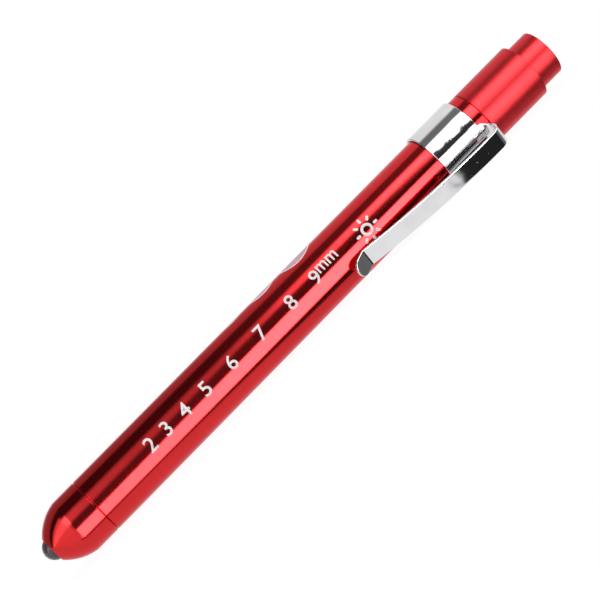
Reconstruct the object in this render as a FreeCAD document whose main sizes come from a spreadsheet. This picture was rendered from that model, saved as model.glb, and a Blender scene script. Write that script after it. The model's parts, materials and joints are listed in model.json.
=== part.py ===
import FreeCAD
import Part
import math
import os
import Sketcher

# Pocket diagnostic penlight: a turned aluminium barrel with a lamp in its bullet-shaped nose, two AAA cells,
# a sheet-metal pocket clip and a screwed tail cap that carries a push switch.
#
# Frame: millimetres. X runs along the barrel from the nose (-X) to the push button (+X), +Z is up and the
# origin is on the barrel's axis at the seam between the nose cap and the barrel. The penlight lies at rest
# on its clip band and on the outer corner of its clip.

SIZES = (
    # turned shell
    ("barrel_radius", 6.25),
    ("barrel_length", 106.8),
    ("seam_bevel", 0.3),
    ("thread_clearance", 0.05),
    ("thread_relief", 0.4),
    ("fit_gap", 0.05),
    ("loose_gap", 0.1),
    # nose cap
    ("nose_rim_length", 5.5),
    ("nose_taper_length", 6.15),
    ("nose_ogive_radius", 10.5),
    ("nose_mouth_rim", 0.25),
    ("nose_neck_length", 5),
    ("nose_neck_radius", 5.7),
    ("nose_bore_radius", 4.7),
    # lamp: a 5 mm light-emitting diode
    ("lamp_radius", 2.5),
    ("lamp_length", 8.6),
    ("lamp_flange_radius", 2.9),
    ("lamp_flange_length", 1),
    ("lamp_seat_depth", 5.8),
    ("lead_side", 0.5),
    ("lead_offset", 1.27),
    ("lead_hole_radius", 0.45),
    ("anvil_radius", 0.8),
    ("anvil_length", 0.9),
    ("anvil_offset", 0.35),
    ("anvil_depth", 2.55),
    ("cup_radius", 0.5),
    ("cup_depth", 0.35),
    ("flag_length", 0.7),
    ("flag_width", 0.77),
    ("flag_depth", 3.05),
    # holder, board and front contact
    ("holder_base", 2),
    ("holder_wall", 0.75),
    ("board_thickness", 1),
    ("board_joint_depth", 0.8),
    ("resistor_length", 2),
    ("resistor_width", 1.25),
    ("resistor_height", 0.5),
    ("resistor_offset", 2.8),
    ("stud_height", 1.1),
    ("stud_radius", 2),
    ("stud_stem_radius", 0.6),
    ("ring_length", 1.5),
    ("ring_wall", 1.25),
    # AAA cells
    ("cell_length", 44.5),
    ("cell_radius", 5.25),
    ("cell_label", 0.13),
    ("cell_label_gap", 0.02),
    ("cell_label_inset", 0.3),
    ("cell_nub_radius", 1.9),
    ("cell_nub_length", 1),
    ("cell_bevel", 0.4),
    ("cell_crimp", 0.2),
    ("cell_seal_depth", 0.8),
    ("cell_base_inset", 0.85),
    ("cell_seal_width", 0.35),
    ("cell_washer_thickness", 0.25),
    ("cell_washer_inset", 0.65),
    ("cell_end_gap", 0.3),
    ("cell_side_gap", 0.15),
    # clip
    ("sheet", 0.5),
    ("band_front", 93.9),
    ("band_width", 10.4),
    ("band_gap", 0.1),
    ("clip_width", 4.1),
    ("clip_rise", 3.35),
    ("fold_setback", 0.225),
    ("clip_tip", 70.6),
    ("clip_tip_gap", 0.1),
    ("lip_length", 4.1),
    ("lip_angle", 28),
    ("lip_corner_radius", 1.9),
    ("tip_bend_radius", 0.8),
    ("flex_relief", 0.04),
    # tail cap
    ("tail_neck_length", 6.5),
    ("tail_body_length", 13.9),
    ("tail_edge", 0.2),
    ("tail_neck_radius", 5.65),
    ("tail_bore_radius", 4.8),
    ("tail_front_depth", 10.5),
    ("tail_web", 1.4),
    ("tail_web_radius", 2.6),
    # push button and switch
    ("button_radius", 5.2),
    ("button_clearance", 0.08),
    ("button_length", 11.2),
    ("button_proud", 5.5),
    ("button_wall", 0.8),
    ("button_end", 1.4),
    ("button_boss_radius", 2.6),
    ("button_socket_depth", 3.2),
    ("button_edge", 0.2),
    ("stem_radius", 1.45),
    ("stem_clearance", 0.08),
    ("stem_grip", 0.02),
    ("stem_end_gap", 0.2),
    ("switch_wall", 0.95),
    ("switch_lid_thickness", 1),
    ("switch_cavity", 6.5),
    ("switch_end_wall", 1),
    ("retainer_length", 1.4),
    ("retainer_wall", 1.55),
    ("terminal_radius", 3),
    ("terminal_thickness", 0.4),
    ("rivet_radius", 0.7),
    ("rivet_head_radius", 1),
    ("rivet_head_height", 0.8),
    ("collar_radius", 3.5),
    ("collar_length", 1.1),
    ("collar_gap", 0.1),
    ("tooth_height", 0.4),
    ("tooth_width", 1.6),
    ("tooth_start", 1.2),
    ("tooth_length", 2.2),
    ("tooth_count", 8),
    ("pin_radius", 0.9),
    ("rotor_length", 1),
    ("bridge_radius", 2.9),
    ("bridge_thickness", 0.4),
    # springs
    ("battery_wire", 0.25),
    ("battery_spring_radius", 1.8),
    ("battery_spring_turns", 5),
    ("battery_spring_growth", 0.2),
    ("switch_wire", 0.15),
    ("switch_spring_radius", 1.6),
    ("switch_spring_turns", 3),
    ("switch_spring_growth", 0.3),
)

PLACES = (
    # shell
    ("barrel_bore_radius", "cell_radius + cell_side_gap"),
    ("seam_edge_radius", "barrel_radius - seam_bevel"),
    ("barrel_bevel_end", "barrel_length - seam_bevel"),
    ("nose_socket_radius", "nose_neck_radius + thread_clearance"),
    ("nose_socket_end", "nose_neck_length + thread_relief"),
    ("tail_socket_radius", "tail_neck_radius + thread_clearance"),
    ("tail_socket_start", "barrel_length - tail_neck_length - thread_relief"),
    # nose cap
    ("nose_shoulder", "-nose_rim_length"),
    ("nose_bevel_end", "-seam_bevel"),
    ("nose_front", "-nose_rim_length - nose_taper_length"),
    ("lamp_hole_radius", "lamp_radius + loose_gap"),
    ("nose_mouth_radius", "lamp_hole_radius + nose_mouth_rim"),
    ("lamp_seat", "nose_front + lamp_seat_depth"),
    # lamp
    ("lamp_base", "lamp_seat + lamp_flange_length"),
    ("lamp_tip", "lamp_base - lamp_length"),
    ("lamp_dome_start", "lamp_tip + lamp_radius"),
    ("anvil_front", "lamp_tip + anvil_depth"),
    ("lead_front", "anvil_front + anvil_length / 2"),
    ("flag_front", "lamp_tip + flag_depth"),
    ("lead_low", "-lead_offset - lead_side / 2"),
    ("lead_high", "lead_offset - lead_side / 2"),
    ("flag_low", "lead_offset + lead_side / 2 - flag_width"),
    ("lead_end", "board_front + board_joint_depth"),
    ("lead_length", "lead_end - lead_front"),
    ("anode_length", "lead_end - flag_front"),
    # holder, board, ring and stud, set back from the first cell
    ("cell_1_front", "nose_neck_length + cell_end_gap - cell_nub_length"),
    ("cell_2_front", "cell_1_front + cell_length"),
    ("cells_end", "cell_2_front + cell_length"),
    ("board_back", "cell_1_front - stud_height"),
    ("board_front", "board_back - board_thickness"),
    ("nose_insert_radius", "nose_bore_radius - fit_gap"),
    ("holder_recess_radius", "lamp_flange_radius + loose_gap"),
    ("holder_floor", "lamp_base + holder_base"),
    ("holder_cup_radius", "nose_insert_radius - holder_wall"),
    ("stud_hole_radius", "stud_stem_radius + cell_label_gap"),
    ("ring_end", "board_back + ring_length"),
    ("ring_radius", "nose_insert_radius - ring_wall"),
    ("resistor_front", "board_front - resistor_height"),
    ("resistor_low", "resistor_offset - resistor_width / 2"),
    ("resistor_side", "-resistor_length / 2"),
    # cells, each in its own frame from the tip of its nub
    ("cell_can_radius", "cell_radius - cell_label - cell_label_gap"),
    ("cell_label_radius", "cell_radius - cell_label"),
    ("cell_bevel_radius", "cell_can_radius - cell_bevel"),
    ("cell_bevel_end", "cell_nub_length + cell_bevel"),
    ("cell_can_end", "cell_length - cell_crimp"),
    ("cell_crimp_start", "cell_can_end - cell_crimp"),
    ("cell_crimp_radius", "cell_can_radius - cell_crimp"),
    ("cell_seal_start", "cell_length - cell_seal_depth"),
    ("cell_base_radius", "cell_radius - cell_base_inset"),
    ("cell_seal_radius", "cell_base_radius + cell_seal_width"),
    ("cell_label_start", "cell_nub_length + cell_label_inset"),
    ("cell_label_end", "cell_length - cell_label_inset"),
    ("cell_washer_start", "cell_nub_length - cell_washer_thickness"),
    ("cell_washer_radius", "cell_radius - cell_washer_inset"),
    ("cell_washer_hole", "cell_nub_radius + loose_gap"),
    # clip, in a frame whose Z points outwards through the middle of the clip
    ("band_inner", "barrel_radius + band_gap"),
    ("band_outer", "band_inner + sheet"),
    ("band_end", "band_front + band_width"),
    ("leg_start", "band_end - sheet"),
    ("arm_under", "band_outer + clip_rise"),
    ("arm_top", "arm_under + sheet"),
    ("bend_radius", "(arm_top - band_inner) / 2"),
    ("bend_inner_radius", "bend_radius - sheet"),
    ("bend_height", "band_inner + bend_radius"),
    ("clip_overhang", "bend_radius + fold_setback"),
    ("bend_far", "band_end + clip_overhang"),
    ("bend_centre", "bend_far - bend_radius"),
    ("bend_inner_far", "bend_far - sheet"),
    ("arm_start", "bend_centre - flex_relief"),
    ("tip_under", "barrel_radius + clip_tip_gap"),
    ("arm_run", "bend_centre - clip_tip"),
    ("arm_drop", "arm_under - tip_under"),
    ("arm_radius", "(arm_run * arm_run + arm_drop * arm_drop) / (2 * arm_drop)"),
    ("arm_outer_radius", "arm_radius + sheet"),
    ("arm_slope", "asin(arm_run / arm_radius) / 1 deg"),
    ("tip_spread", "sheet / (1 + cos((arm_slope + lip_angle) * 1 deg))"),
    ("tip_top_x", "clip_tip + tip_spread * (sin(lip_angle * 1 deg) - sin(arm_slope * 1 deg))"),
    ("tip_top", "tip_under + tip_spread * (cos(lip_angle * 1 deg) + cos(arm_slope * 1 deg))"),
    ("lip_end", "clip_tip - lip_length * cos(lip_angle * 1 deg)"),
    ("lip_under", "tip_under + lip_length * sin(lip_angle * 1 deg)"),
    ("lip_top_x", "lip_end + sheet * sin(lip_angle * 1 deg)"),
    ("lip_top", "lip_under + sheet * cos(lip_angle * 1 deg)"),
    ("tip_bend_under_radius", "tip_bend_radius + sheet"),
    ("clip_corner", "sqrt(arm_top * arm_top + clip_width * clip_width / 4)"),
    ("clip_corner_lean", "atan(clip_width / 2 / arm_top) / 1 deg"),
    ("clip_lean", "acos(band_outer / clip_corner) / 1 deg + clip_corner_lean"),
    ("clip_roll", "180 - clip_lean"),
    # tail cap
    ("tail_neck_start", "barrel_length - tail_neck_length"),
    ("tail_bevel_end", "barrel_length + seam_bevel"),
    ("tail_end", "barrel_length + tail_body_length"),
    ("tail_edge_start", "tail_end - tail_edge"),
    ("tail_edge_radius", "barrel_radius - tail_edge"),
    ("tail_web_start", "tail_neck_start + tail_front_depth"),
    ("tail_web_end", "tail_web_start + tail_web"),
    ("tail_well_radius", "button_radius + button_clearance"),
    # push button
    ("button_end_face", "tail_end + button_proud"),
    ("button_start", "button_end_face - button_length"),
    ("button_floor", "button_end_face - button_end"),
    ("button_edge_start", "button_end_face - button_edge"),
    ("button_edge_radius", "button_radius - button_edge"),
    ("button_inner_radius", "button_radius - button_wall"),
    ("button_socket_radius", "stem_radius + stem_grip"),
    ("button_socket_end", "button_start + button_socket_depth"),
    ("stem_end", "button_socket_end - stem_end_gap"),
    # switch, built forwards from the web of the tail cap
    ("switch_radius", "tail_bore_radius - fit_gap"),
    ("cavity_radius", "switch_radius - switch_wall"),
    ("guide_radius", "tail_web_radius - loose_gap"),
    ("guide_bore", "stem_radius + stem_clearance"),
    ("cavity_end", "tail_web_start - switch_end_wall"),
    ("cavity_start", "cavity_end - switch_cavity"),
    ("lid_start", "cavity_start - switch_lid_thickness"),
    ("retainer_start", "lid_start - retainer_length"),
    ("retainer_radius", "switch_radius - retainer_wall"),
    ("terminal_start", "lid_start - terminal_thickness"),
    ("rivet_hole_radius", "rivet_radius + fit_gap"),
    ("rivet_end", "cavity_start + rivet_head_height"),
    ("collar_end", "cavity_end - collar_gap"),
    ("collar_start", "collar_end - collar_length"),
    ("collar_tips", "collar_start - tooth_height"),
    ("rotor_tips", "collar_tips - collar_gap"),
    ("rotor_end", "rotor_tips - tooth_height"),
    ("rotor_start", "rotor_end - rotor_length"),
    ("rotor_bore", "pin_radius + fit_gap"),
    ("bridge_end", "rotor_start - collar_gap"),
    ("bridge_start", "bridge_end - bridge_thickness"),
    ("bridge_bore", "pin_radius + stem_grip"),
    # springs, along the centre line of their wire
    ("battery_spring_start", "cells_end + battery_wire + fit_gap"),
    ("battery_spring_length", "terminal_start - battery_wire - fit_gap - battery_spring_start"),
    ("switch_spring_start", "cavity_start + switch_wire + fit_gap"),
    ("switch_spring_length", "bridge_start - switch_wire - fit_gap - switch_spring_start"),
)

doc = FreeCAD.newDocument("penlight")
sheet = doc.addObject("Spreadsheet::Sheet", "Sizes")
for row, (name, number) in enumerate(SIZES, start=1):
    sheet.set(f"A{row}", name)
    sheet.set(f"B{row}", str(number))
    sheet.setAlias(f"B{row}", name)
for row, (name, formula) in enumerate(PLACES, start=1):
    sheet.set(f"D{row}", name)
    sheet.set(f"E{row}", "=" + formula)
    sheet.setAlias(f"E{row}", name)
doc.recompute()

parts = []


def size(name):
    """The number that a cell of the sheet holds."""
    return float(getattr(sheet, name))


def bind(thing, path, name):
    """Tie one property to a cell of the sheet."""
    thing.setExpression(path, "Sizes." + name)


def keep(thing, label):
    """Name a finished sub-part, which is also the name of its file."""
    thing.Label = label
    parts.append(thing)
    return thing


def body_sketch(body, role, name):
    """A sketch on one of a body's own origin planes."""
    sketch = body.newObject("Sketcher::SketchObject", name)
    plane = [feature for feature in body.Origin.OriginFeatures if feature.Role == role][0]
    sketch.AttachmentSupport = (plane, [""])
    sketch.MapMode = "FlatFace"
    return sketch


def fix_point(sketch, edge, end, across, up):
    """Hold one end of an edge at the named distances from the sketch's origin; None is on the axis."""
    if across is None:
        sketch.addConstraint(Sketcher.Constraint("PointOnObject", edge, end, -2))
    else:
        number = sketch.addConstraint(Sketcher.Constraint("DistanceX", -1, 1, edge, end, size(across)))
        bind(sketch, f"Constraints[{number}]", across)
    if up is None:
        sketch.addConstraint(Sketcher.Constraint("PointOnObject", edge, end, -1))
    else:
        number = sketch.addConstraint(Sketcher.Constraint("DistanceY", -1, 1, edge, end, size(up)))
        bind(sketch, f"Constraints[{number}]", up)


def arc_middle(start, end, radius):
    """The middle of the arc from start to end; a positive radius bulges to the left of that way."""
    chord = end - start
    left = FreeCAD.Vector(-chord.y, chord.x, 0).normalize()
    rise = abs(radius) - math.sqrt(radius * radius - chord.Length * chord.Length / 4)
    return (start + end) * 0.5 + left * math.copysign(rise, radius)


def draw_outline(sketch, outline):
    """A closed outline. Each corner is (across, up) or, where an arc starts, (across, up, radius, side)."""
    corners = []
    for corner in outline:
        across = size(corner[0]) if corner[0] else 0
        up = size(corner[1]) if corner[1] else 0
        corners.append(FreeCAD.Vector(across, up, 0))
    for number, corner in enumerate(outline):
        start = corners[number]
        end = corners[(number + 1) % len(corners)]
        if len(corner) == 2:
            sketch.addGeometry(Part.LineSegment(start, end), False)
        else:
            middle = arc_middle(start, end, corner[3] * size(corner[2]))
            sketch.addGeometry(Part.Arc(start, middle, end), False)
    starts = []
    for number, corner in enumerate(outline):
        # an arc's first point is its start only when it turns anticlockwise
        clockwise = len(corner) == 4 and corner[3] > 0
        starts.append((number, 2 if clockwise else 1))
    for number, corner in enumerate(outline):
        edge, end = starts[number]
        before = (number - 1) % len(outline)
        before_end = 3 - starts[before][1]
        sketch.addConstraint(Sketcher.Constraint("Coincident", before, before_end, edge, end))
        fix_point(sketch, edge, end, corner[0], corner[1])
        if len(corner) == 4:
            radius = sketch.addConstraint(Sketcher.Constraint("Radius", edge, size(corner[2])))
            bind(sketch, f"Constraints[{radius}]", corner[2])


def turn(body, name, outline):
    """Revolve an outline, drawn as (along the axis, radius), about the body's X axis."""
    sketch = body_sketch(body, "XZ_Plane", name + "_outline")
    draw_outline(sketch, outline)
    feature = body.newObject("PartDesign::Revolution", name + "_turned")
    feature.Profile = sketch
    feature.ReferenceAxis = (sketch, ["H_Axis"])
    feature.Angle = 360
    body.Tip = feature
    return feature


def turned(name, outline):
    """A sub-part that is one turned piece."""
    body = doc.addObject("PartDesign::Body", name)
    turn(body, name, outline)
    return keep(body, name)


def sleeve(name, start, end, inner, outer):
    """A turned ring or disc with square ends; an inner radius of None makes it a disc."""
    return turned(name, [(start, inner), (start, outer), (end, outer), (end, inner)])


def strip(body, name, outline, width):
    """Pad a side outline equally to both sides of the body's XZ plane."""
    sketch = body_sketch(body, "XZ_Plane", name + "_side")
    draw_outline(sketch, outline)
    pad = body.newObject("PartDesign::Pad", name + "_pad")
    pad.Profile = sketch
    pad.SideType = "Symmetric"
    bind(pad, "Length", width)
    body.Tip = pad
    return pad


def round_edges(body, name, wanted, radius):
    """Fillet the edges of the body's tip that the test picks."""
    doc.recompute()
    base = body.Tip
    edges = [f"Edge{number}" for number, edge in enumerate(base.Shape.Edges, start=1) if wanted(edge)]
    fillet = body.newObject("PartDesign::Fillet", name)
    fillet.Base = (base, edges)
    bind(fillet, "Radius", radius)
    body.Tip = fillet


def spring(name, wire, start, radius, length, turns, growth):
    """A round wire coiled about X, each turn wider than the last by its growth; it is drawn at X = 0."""
    body = doc.addObject("PartDesign::Body", name)
    sketch = body_sketch(body, "XZ_Plane", name + "_wire")
    centre = FreeCAD.Vector(0, size(radius), 0)
    sketch.addGeometry(Part.Circle(centre, FreeCAD.Vector(0, 0, 1), size(wire)), False)
    number = sketch.addConstraint(Sketcher.Constraint("Radius", 0, size(wire)))
    bind(sketch, f"Constraints[{number}]", wire)
    fix_point(sketch, 0, 3, None, radius)
    coil = body.newObject("PartDesign::AdditiveHelix", name + "_coil")
    coil.Profile = sketch
    coil.ReferenceAxis = (sketch, ["H_Axis"])
    coil.Mode = "height-turns-growth"
    bind(coil, "Height", length)
    bind(coil, "Turns", turns)
    bind(coil, "Growth", growth)
    body.Tip = coil
    bind(body, "Placement.Base.x", start)
    return keep(body, name)


def rod(name, start, length, radius, up=None):
    """A round rod along X, as a cutting tool or a simple piece; up moves it along Z."""
    cylinder = doc.addObject("Part::Cylinder", name)
    cylinder.Placement.Rotation = FreeCAD.Rotation(FreeCAD.Vector(0, 1, 0), 90)
    bind(cylinder, "Placement.Base.x", start)
    if up:
        cylinder.setExpression("Placement.Base.z", up)
    cylinder.setExpression("Height", length)
    bind(cylinder, "Radius", radius)
    return cylinder


def block(name, place, lengths):
    """A square block: the places of its low corner and its lengths, along X, Y and Z, as expressions."""
    box = doc.addObject("Part::Box", name)
    for letter, expression in zip("xyz", place):
        box.setExpression(f"Placement.Base.{letter}", expression)
    for side, expression in zip(("Length", "Width", "Height"), lengths):
        box.setExpression(side, expression)
    return box


def join(name, pieces):
    """Fuse overlapping pieces into one solid."""
    fused = doc.addObject("Part::MultiFuse", name)
    fused.Shapes = pieces
    return fused


def cut(name, base, tools):
    """Take each tool away from the base in turn."""
    for number, tool in enumerate(tools, start=1):
        last = number == len(tools)
        result = doc.addObject("Part::Cut", name if last else f"{name}_cut_{number}")
        result.Base = base
        result.Tool = tool
        base = result
    return base


def make_shell():
    """The barrel tube and the nose cap screwed into its front end."""
    turned("barrel", [
        (None, "nose_socket_radius"),
        (None, "seam_edge_radius"),
        ("seam_bevel", "barrel_radius"),
        ("barrel_bevel_end", "barrel_radius"),
        ("barrel_length", "seam_edge_radius"),
        ("barrel_length", "tail_socket_radius"),
        ("tail_socket_start", "tail_socket_radius"),
        ("tail_socket_start", "barrel_bore_radius"),
        ("nose_socket_end", "barrel_bore_radius"),
        ("nose_socket_end", "nose_socket_radius"),
    ])
    turned("nose_cap", [
        (None, "seam_edge_radius"),
        ("nose_bevel_end", "barrel_radius"),
        ("nose_shoulder", "barrel_radius", "nose_ogive_radius", -1),
        ("nose_front", "nose_mouth_radius"),
        ("nose_front", "lamp_hole_radius"),
        ("lamp_seat", "lamp_hole_radius"),
        ("lamp_seat", "nose_bore_radius"),
        ("nose_neck_length", "nose_bore_radius"),
        ("nose_neck_length", "nose_neck_radius"),
        (None, "nose_neck_radius"),
    ])


def make_lamp():
    """The diode: two stamped leads, the phosphor in the cathode's cup and the clear body around them."""
    side = "Sizes.lead_side"
    half = "-Sizes.lead_side / 2"
    cathode_lead = block(
        "cathode_lead", ("Sizes.lead_front", half, "Sizes.lead_low"), ("Sizes.lead_length", side, side))
    anvil = rod("anvil", "anvil_front", "Sizes.anvil_length", "anvil_radius", "-Sizes.anvil_offset")
    cup = rod("cup", "anvil_front", "Sizes.cup_depth", "cup_radius", "-Sizes.anvil_offset")
    blank = join("cathode_blank", [cathode_lead, anvil])
    cathode = keep(cut("led_cathode_frame", blank, [cup]), "led_cathode")
    anode_lead = block(
        "anode_lead", ("Sizes.flag_front", half, "Sizes.lead_high"), ("Sizes.anode_length", side, side))
    flag = block(
        "flag", ("Sizes.flag_front", half, "Sizes.flag_low"), ("Sizes.flag_length", side, "Sizes.flag_width"))
    anode = keep(join("led_anode_frame", [anode_lead, flag]), "led_anode")
    phosphor = keep(
        rod("phosphor_dot", "anvil_front", "Sizes.cup_depth", "cup_radius", "-Sizes.anvil_offset"),
        "led_phosphor")
    body = doc.addObject("PartDesign::Body", "lens_blank")
    turn(body, "lens_blank", [
        ("lamp_tip", None, "lamp_radius", 1),
        ("lamp_dome_start", "lamp_radius"),
        ("lamp_seat", "lamp_radius"),
        ("lamp_seat", "lamp_flange_radius"),
        ("lamp_base", "lamp_flange_radius"),
        ("lamp_base", None),
    ])
    keep(cut("led_lens_moulding", body, [cathode, anode, phosphor]), "led_lens")


def make_nose_insert():
    """What holds the lamp in the nose cap and brings it its current."""
    body = doc.addObject("PartDesign::Body", "holder_blank")
    turn(body, "holder_blank", [
        ("lamp_seat", "holder_recess_radius"),
        ("lamp_seat", "nose_insert_radius"),
        ("board_front", "nose_insert_radius"),
        ("board_front", "holder_cup_radius"),
        ("holder_floor", "holder_cup_radius"),
        ("holder_floor", None),
        ("lamp_base", None),
        ("lamp_base", "holder_recess_radius"),
    ])
    holes = []
    for name, up in (("low", "-Sizes.lead_offset"), ("high", "Sizes.lead_offset")):
        hole = rod(f"holder_hole_{name}", "lamp_base", "Sizes.holder_base", "lead_hole_radius", up)
        holes.append(hole)
    keep(cut("led_holder_moulding", body, holes), "led_holder")

    disc = doc.addObject("PartDesign::Body", "board_blank")
    turn(disc, "board_blank", [
        ("board_front", "stud_hole_radius"),
        ("board_front", "nose_insert_radius"),
        ("board_back", "nose_insert_radius"),
        ("board_back", "stud_hole_radius"),
    ])
    joints = []
    for name, up in (("low", "-Sizes.lead_offset"), ("high", "Sizes.lead_offset")):
        joint = rod(f"board_hole_{name}", "board_front", "Sizes.board_joint_depth", "lead_hole_radius", up)
        joints.append(joint)
    keep(cut("board_drilled", disc, joints), "driver_board")
    keep(block(
        "resistor_chip",
        ("Sizes.resistor_front", "Sizes.resistor_low", "Sizes.resistor_side"),
        ("Sizes.resistor_height", "Sizes.resistor_width", "Sizes.resistor_length")), "resistor")
    turned("front_contact", [
        ("board_front", None),
        ("board_front", "stud_stem_radius"),
        ("board_back", "stud_stem_radius"),
        ("board_back", "stud_radius"),
        ("cell_1_front", "stud_radius"),
        ("cell_1_front", None),
    ])
    sleeve("board_ring", "board_back", "ring_end", "ring_radius", "nose_insert_radius")


def make_cell(number):
    """One AAA cell: its steel can with the nub, printed sleeve, nub washer, end seal and end plate."""
    cell = f"cell_{number}"
    pieces = [
        turned(cell + "_can", [
            (None, None),
            (None, "cell_nub_radius"),
            ("cell_nub_length", "cell_nub_radius"),
            ("cell_nub_length", "cell_bevel_radius"),
            ("cell_bevel_end", "cell_can_radius"),
            ("cell_crimp_start", "cell_can_radius"),
            ("cell_can_end", "cell_crimp_radius"),
            ("cell_can_end", "cell_seal_radius"),
            ("cell_seal_start", "cell_seal_radius"),
            ("cell_seal_start", None),
        ]),
        sleeve(cell + "_label", "cell_label_start", "cell_label_end", "cell_label_radius", "cell_radius"),
        sleeve(cell + "_washer", "cell_washer_start", "cell_nub_length", "cell_washer_hole",
               "cell_washer_radius"),
        sleeve(cell + "_seal", "cell_seal_start", "cell_can_end", "cell_base_radius", "cell_seal_radius"),
        sleeve(cell + "_base", "cell_seal_start", "cell_length", None, "cell_base_radius"),
    ]
    for piece in pieces:
        bind(piece, "Placement.Base.x", cell + "_front")


def set_round_clip(body):
    """Roll a body about X so that its Z points outwards through the clip."""
    body.Placement = FreeCAD.Placement(FreeCAD.Vector(), FreeCAD.Rotation(FreeCAD.Vector(1, 0, 0), 1))
    body.setExpression("Placement.Rotation.Angle", "Sizes.clip_roll * 1 deg")


def make_clip():
    """The band with its folded end, and the springy arm that starts where the fold ends."""
    band = doc.addObject("PartDesign::Body", "clip_band")
    turn(band, "clip_ring", [
        ("band_front", "band_inner"),
        ("band_front", "band_outer"),
        ("band_end", "band_outer"),
        ("band_end", "band_inner"),
    ])
    strip(band, "clip_fold", [
        ("leg_start", "band_inner"),
        ("bend_centre", "band_inner", "bend_radius", -1),
        ("bend_far", "bend_height", "bend_radius", -1),
        ("bend_centre", "arm_top"),
        ("bend_centre", "arm_under", "bend_inner_radius", 1),
        ("bend_inner_far", "bend_height", "bend_inner_radius", 1),
        ("bend_centre", "band_outer"),
        ("leg_start", "band_outer"),
    ], "clip_width")
    keep(band, "clip_band")
    set_round_clip(band)

    arm = doc.addObject("PartDesign::Body", "clip_arm")
    strip(arm, "clip_arm", [
        ("bend_centre", "arm_under"),
        ("arm_start", "arm_top", "arm_outer_radius", -1),
        ("tip_top_x", "tip_top"),
        ("lip_top_x", "lip_top"),
        ("lip_end", "lip_under"),
        ("clip_tip", "tip_under", "arm_radius", 1),
    ], "clip_width")

    def across_tip(edge, height):
        middle = edge.CenterOfMass
        straight = abs(edge.Length - size("clip_width")) < 1e-6
        return straight and abs(middle.x - size("clip_tip")) < size("sheet") and abs(middle.z - height) < 1e-3

    def lip_corner(edge):
        middle = edge.CenterOfMass
        short = abs(edge.Length - size("sheet")) < 1e-6
        return short and middle.x < size("clip_tip") - size("sheet")

    round_edges(arm, "lip_corners", lip_corner, "lip_corner_radius")
    round_edges(arm, "tip_top_bend", lambda edge: across_tip(edge, size("tip_top")), "tip_bend_radius")
    round_edges(arm, "tip_under_bend", lambda edge: across_tip(edge, size("tip_under")),
                "tip_bend_under_radius")
    keep(arm, "clip_arm")
    set_round_clip(arm)


def make_tail_cap():
    """The tail cap: a screwed neck, a web that the switch seats on and a well for the button."""
    turned("tail_cap", [
        ("tail_neck_start", "tail_bore_radius"),
        ("tail_neck_start", "tail_neck_radius"),
        ("barrel_length", "tail_neck_radius"),
        ("barrel_length", "seam_edge_radius"),
        ("tail_bevel_end", "barrel_radius"),
        ("tail_edge_start", "barrel_radius"),
        ("tail_end", "tail_edge_radius"),
        ("tail_end", "tail_well_radius"),
        ("tail_web_end", "tail_well_radius"),
        ("tail_web_end", "tail_web_radius"),
        ("tail_web_start", "tail_web_radius"),
        ("tail_web_start", "tail_bore_radius"),
    ])


def add_teeth(body, name, root, height_sign):
    """A ring of blunt crown teeth that stand along X from the root face."""
    sketch = body_sketch(body, "XY_Plane", name + "_tooth")
    sketch.setExpression("AttachmentOffset.Base.z", "Sizes.tooth_start")
    half = size("tooth_width") / 2
    face = size(root)
    # the tooth starts a little inside its disc so that the two fuse
    sunk = face - height_sign * size("tooth_height") / 2
    tip = face + height_sign * size("tooth_height")
    corners = [FreeCAD.Vector(*corner, 0) for corner in ((sunk, -half), (sunk, half), (face, half), (tip, 0),
                                                         (face, -half))]
    for number, corner in enumerate(corners):
        sketch.addGeometry(Part.LineSegment(corner, corners[(number + 1) % len(corners)]), False)
    places = (
        (f"Sizes.{root} - {height_sign} * Sizes.tooth_height / 2", "-Sizes.tooth_width / 2"),
        (f"Sizes.{root} - {height_sign} * Sizes.tooth_height / 2", "Sizes.tooth_width / 2"),
        (f"Sizes.{root}", "Sizes.tooth_width / 2"),
        (f"Sizes.{root} + {height_sign} * Sizes.tooth_height", None),
        (f"Sizes.{root}", "-Sizes.tooth_width / 2"),
    )
    for number, (across, up) in enumerate(places):
        before = (number - 1) % len(places)
        sketch.addConstraint(Sketcher.Constraint("Coincident", before, 2, number, 1))
        limit = Sketcher.Constraint("DistanceX", -1, 1, number, 1, corners[number].x)
        sketch.setExpression(f"Constraints[{sketch.addConstraint(limit)}]", across)
        if up is None:
            sketch.addConstraint(Sketcher.Constraint("PointOnObject", number, 1, -1))
        else:
            limit = Sketcher.Constraint("DistanceY", -1, 1, number, 1, corners[number].y)
            sketch.setExpression(f"Constraints[{sketch.addConstraint(limit)}]", up)
    pad = body.newObject("PartDesign::Pad", name + "_tooth_pad")
    pad.Profile = sketch
    bind(pad, "Length", "tooth_length")
    axis = [feature for feature in body.Origin.OriginFeatures if feature.Role == "X_Axis"][0]
    ring = body.newObject("PartDesign::PolarPattern", name + "_tooth_ring")
    ring.Originals = [pad]
    ring.Axis = (axis, [""])
    ring.Angle = 360
    bind(ring, "Occurrences", "tooth_count")
    body.Tip = ring


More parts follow.
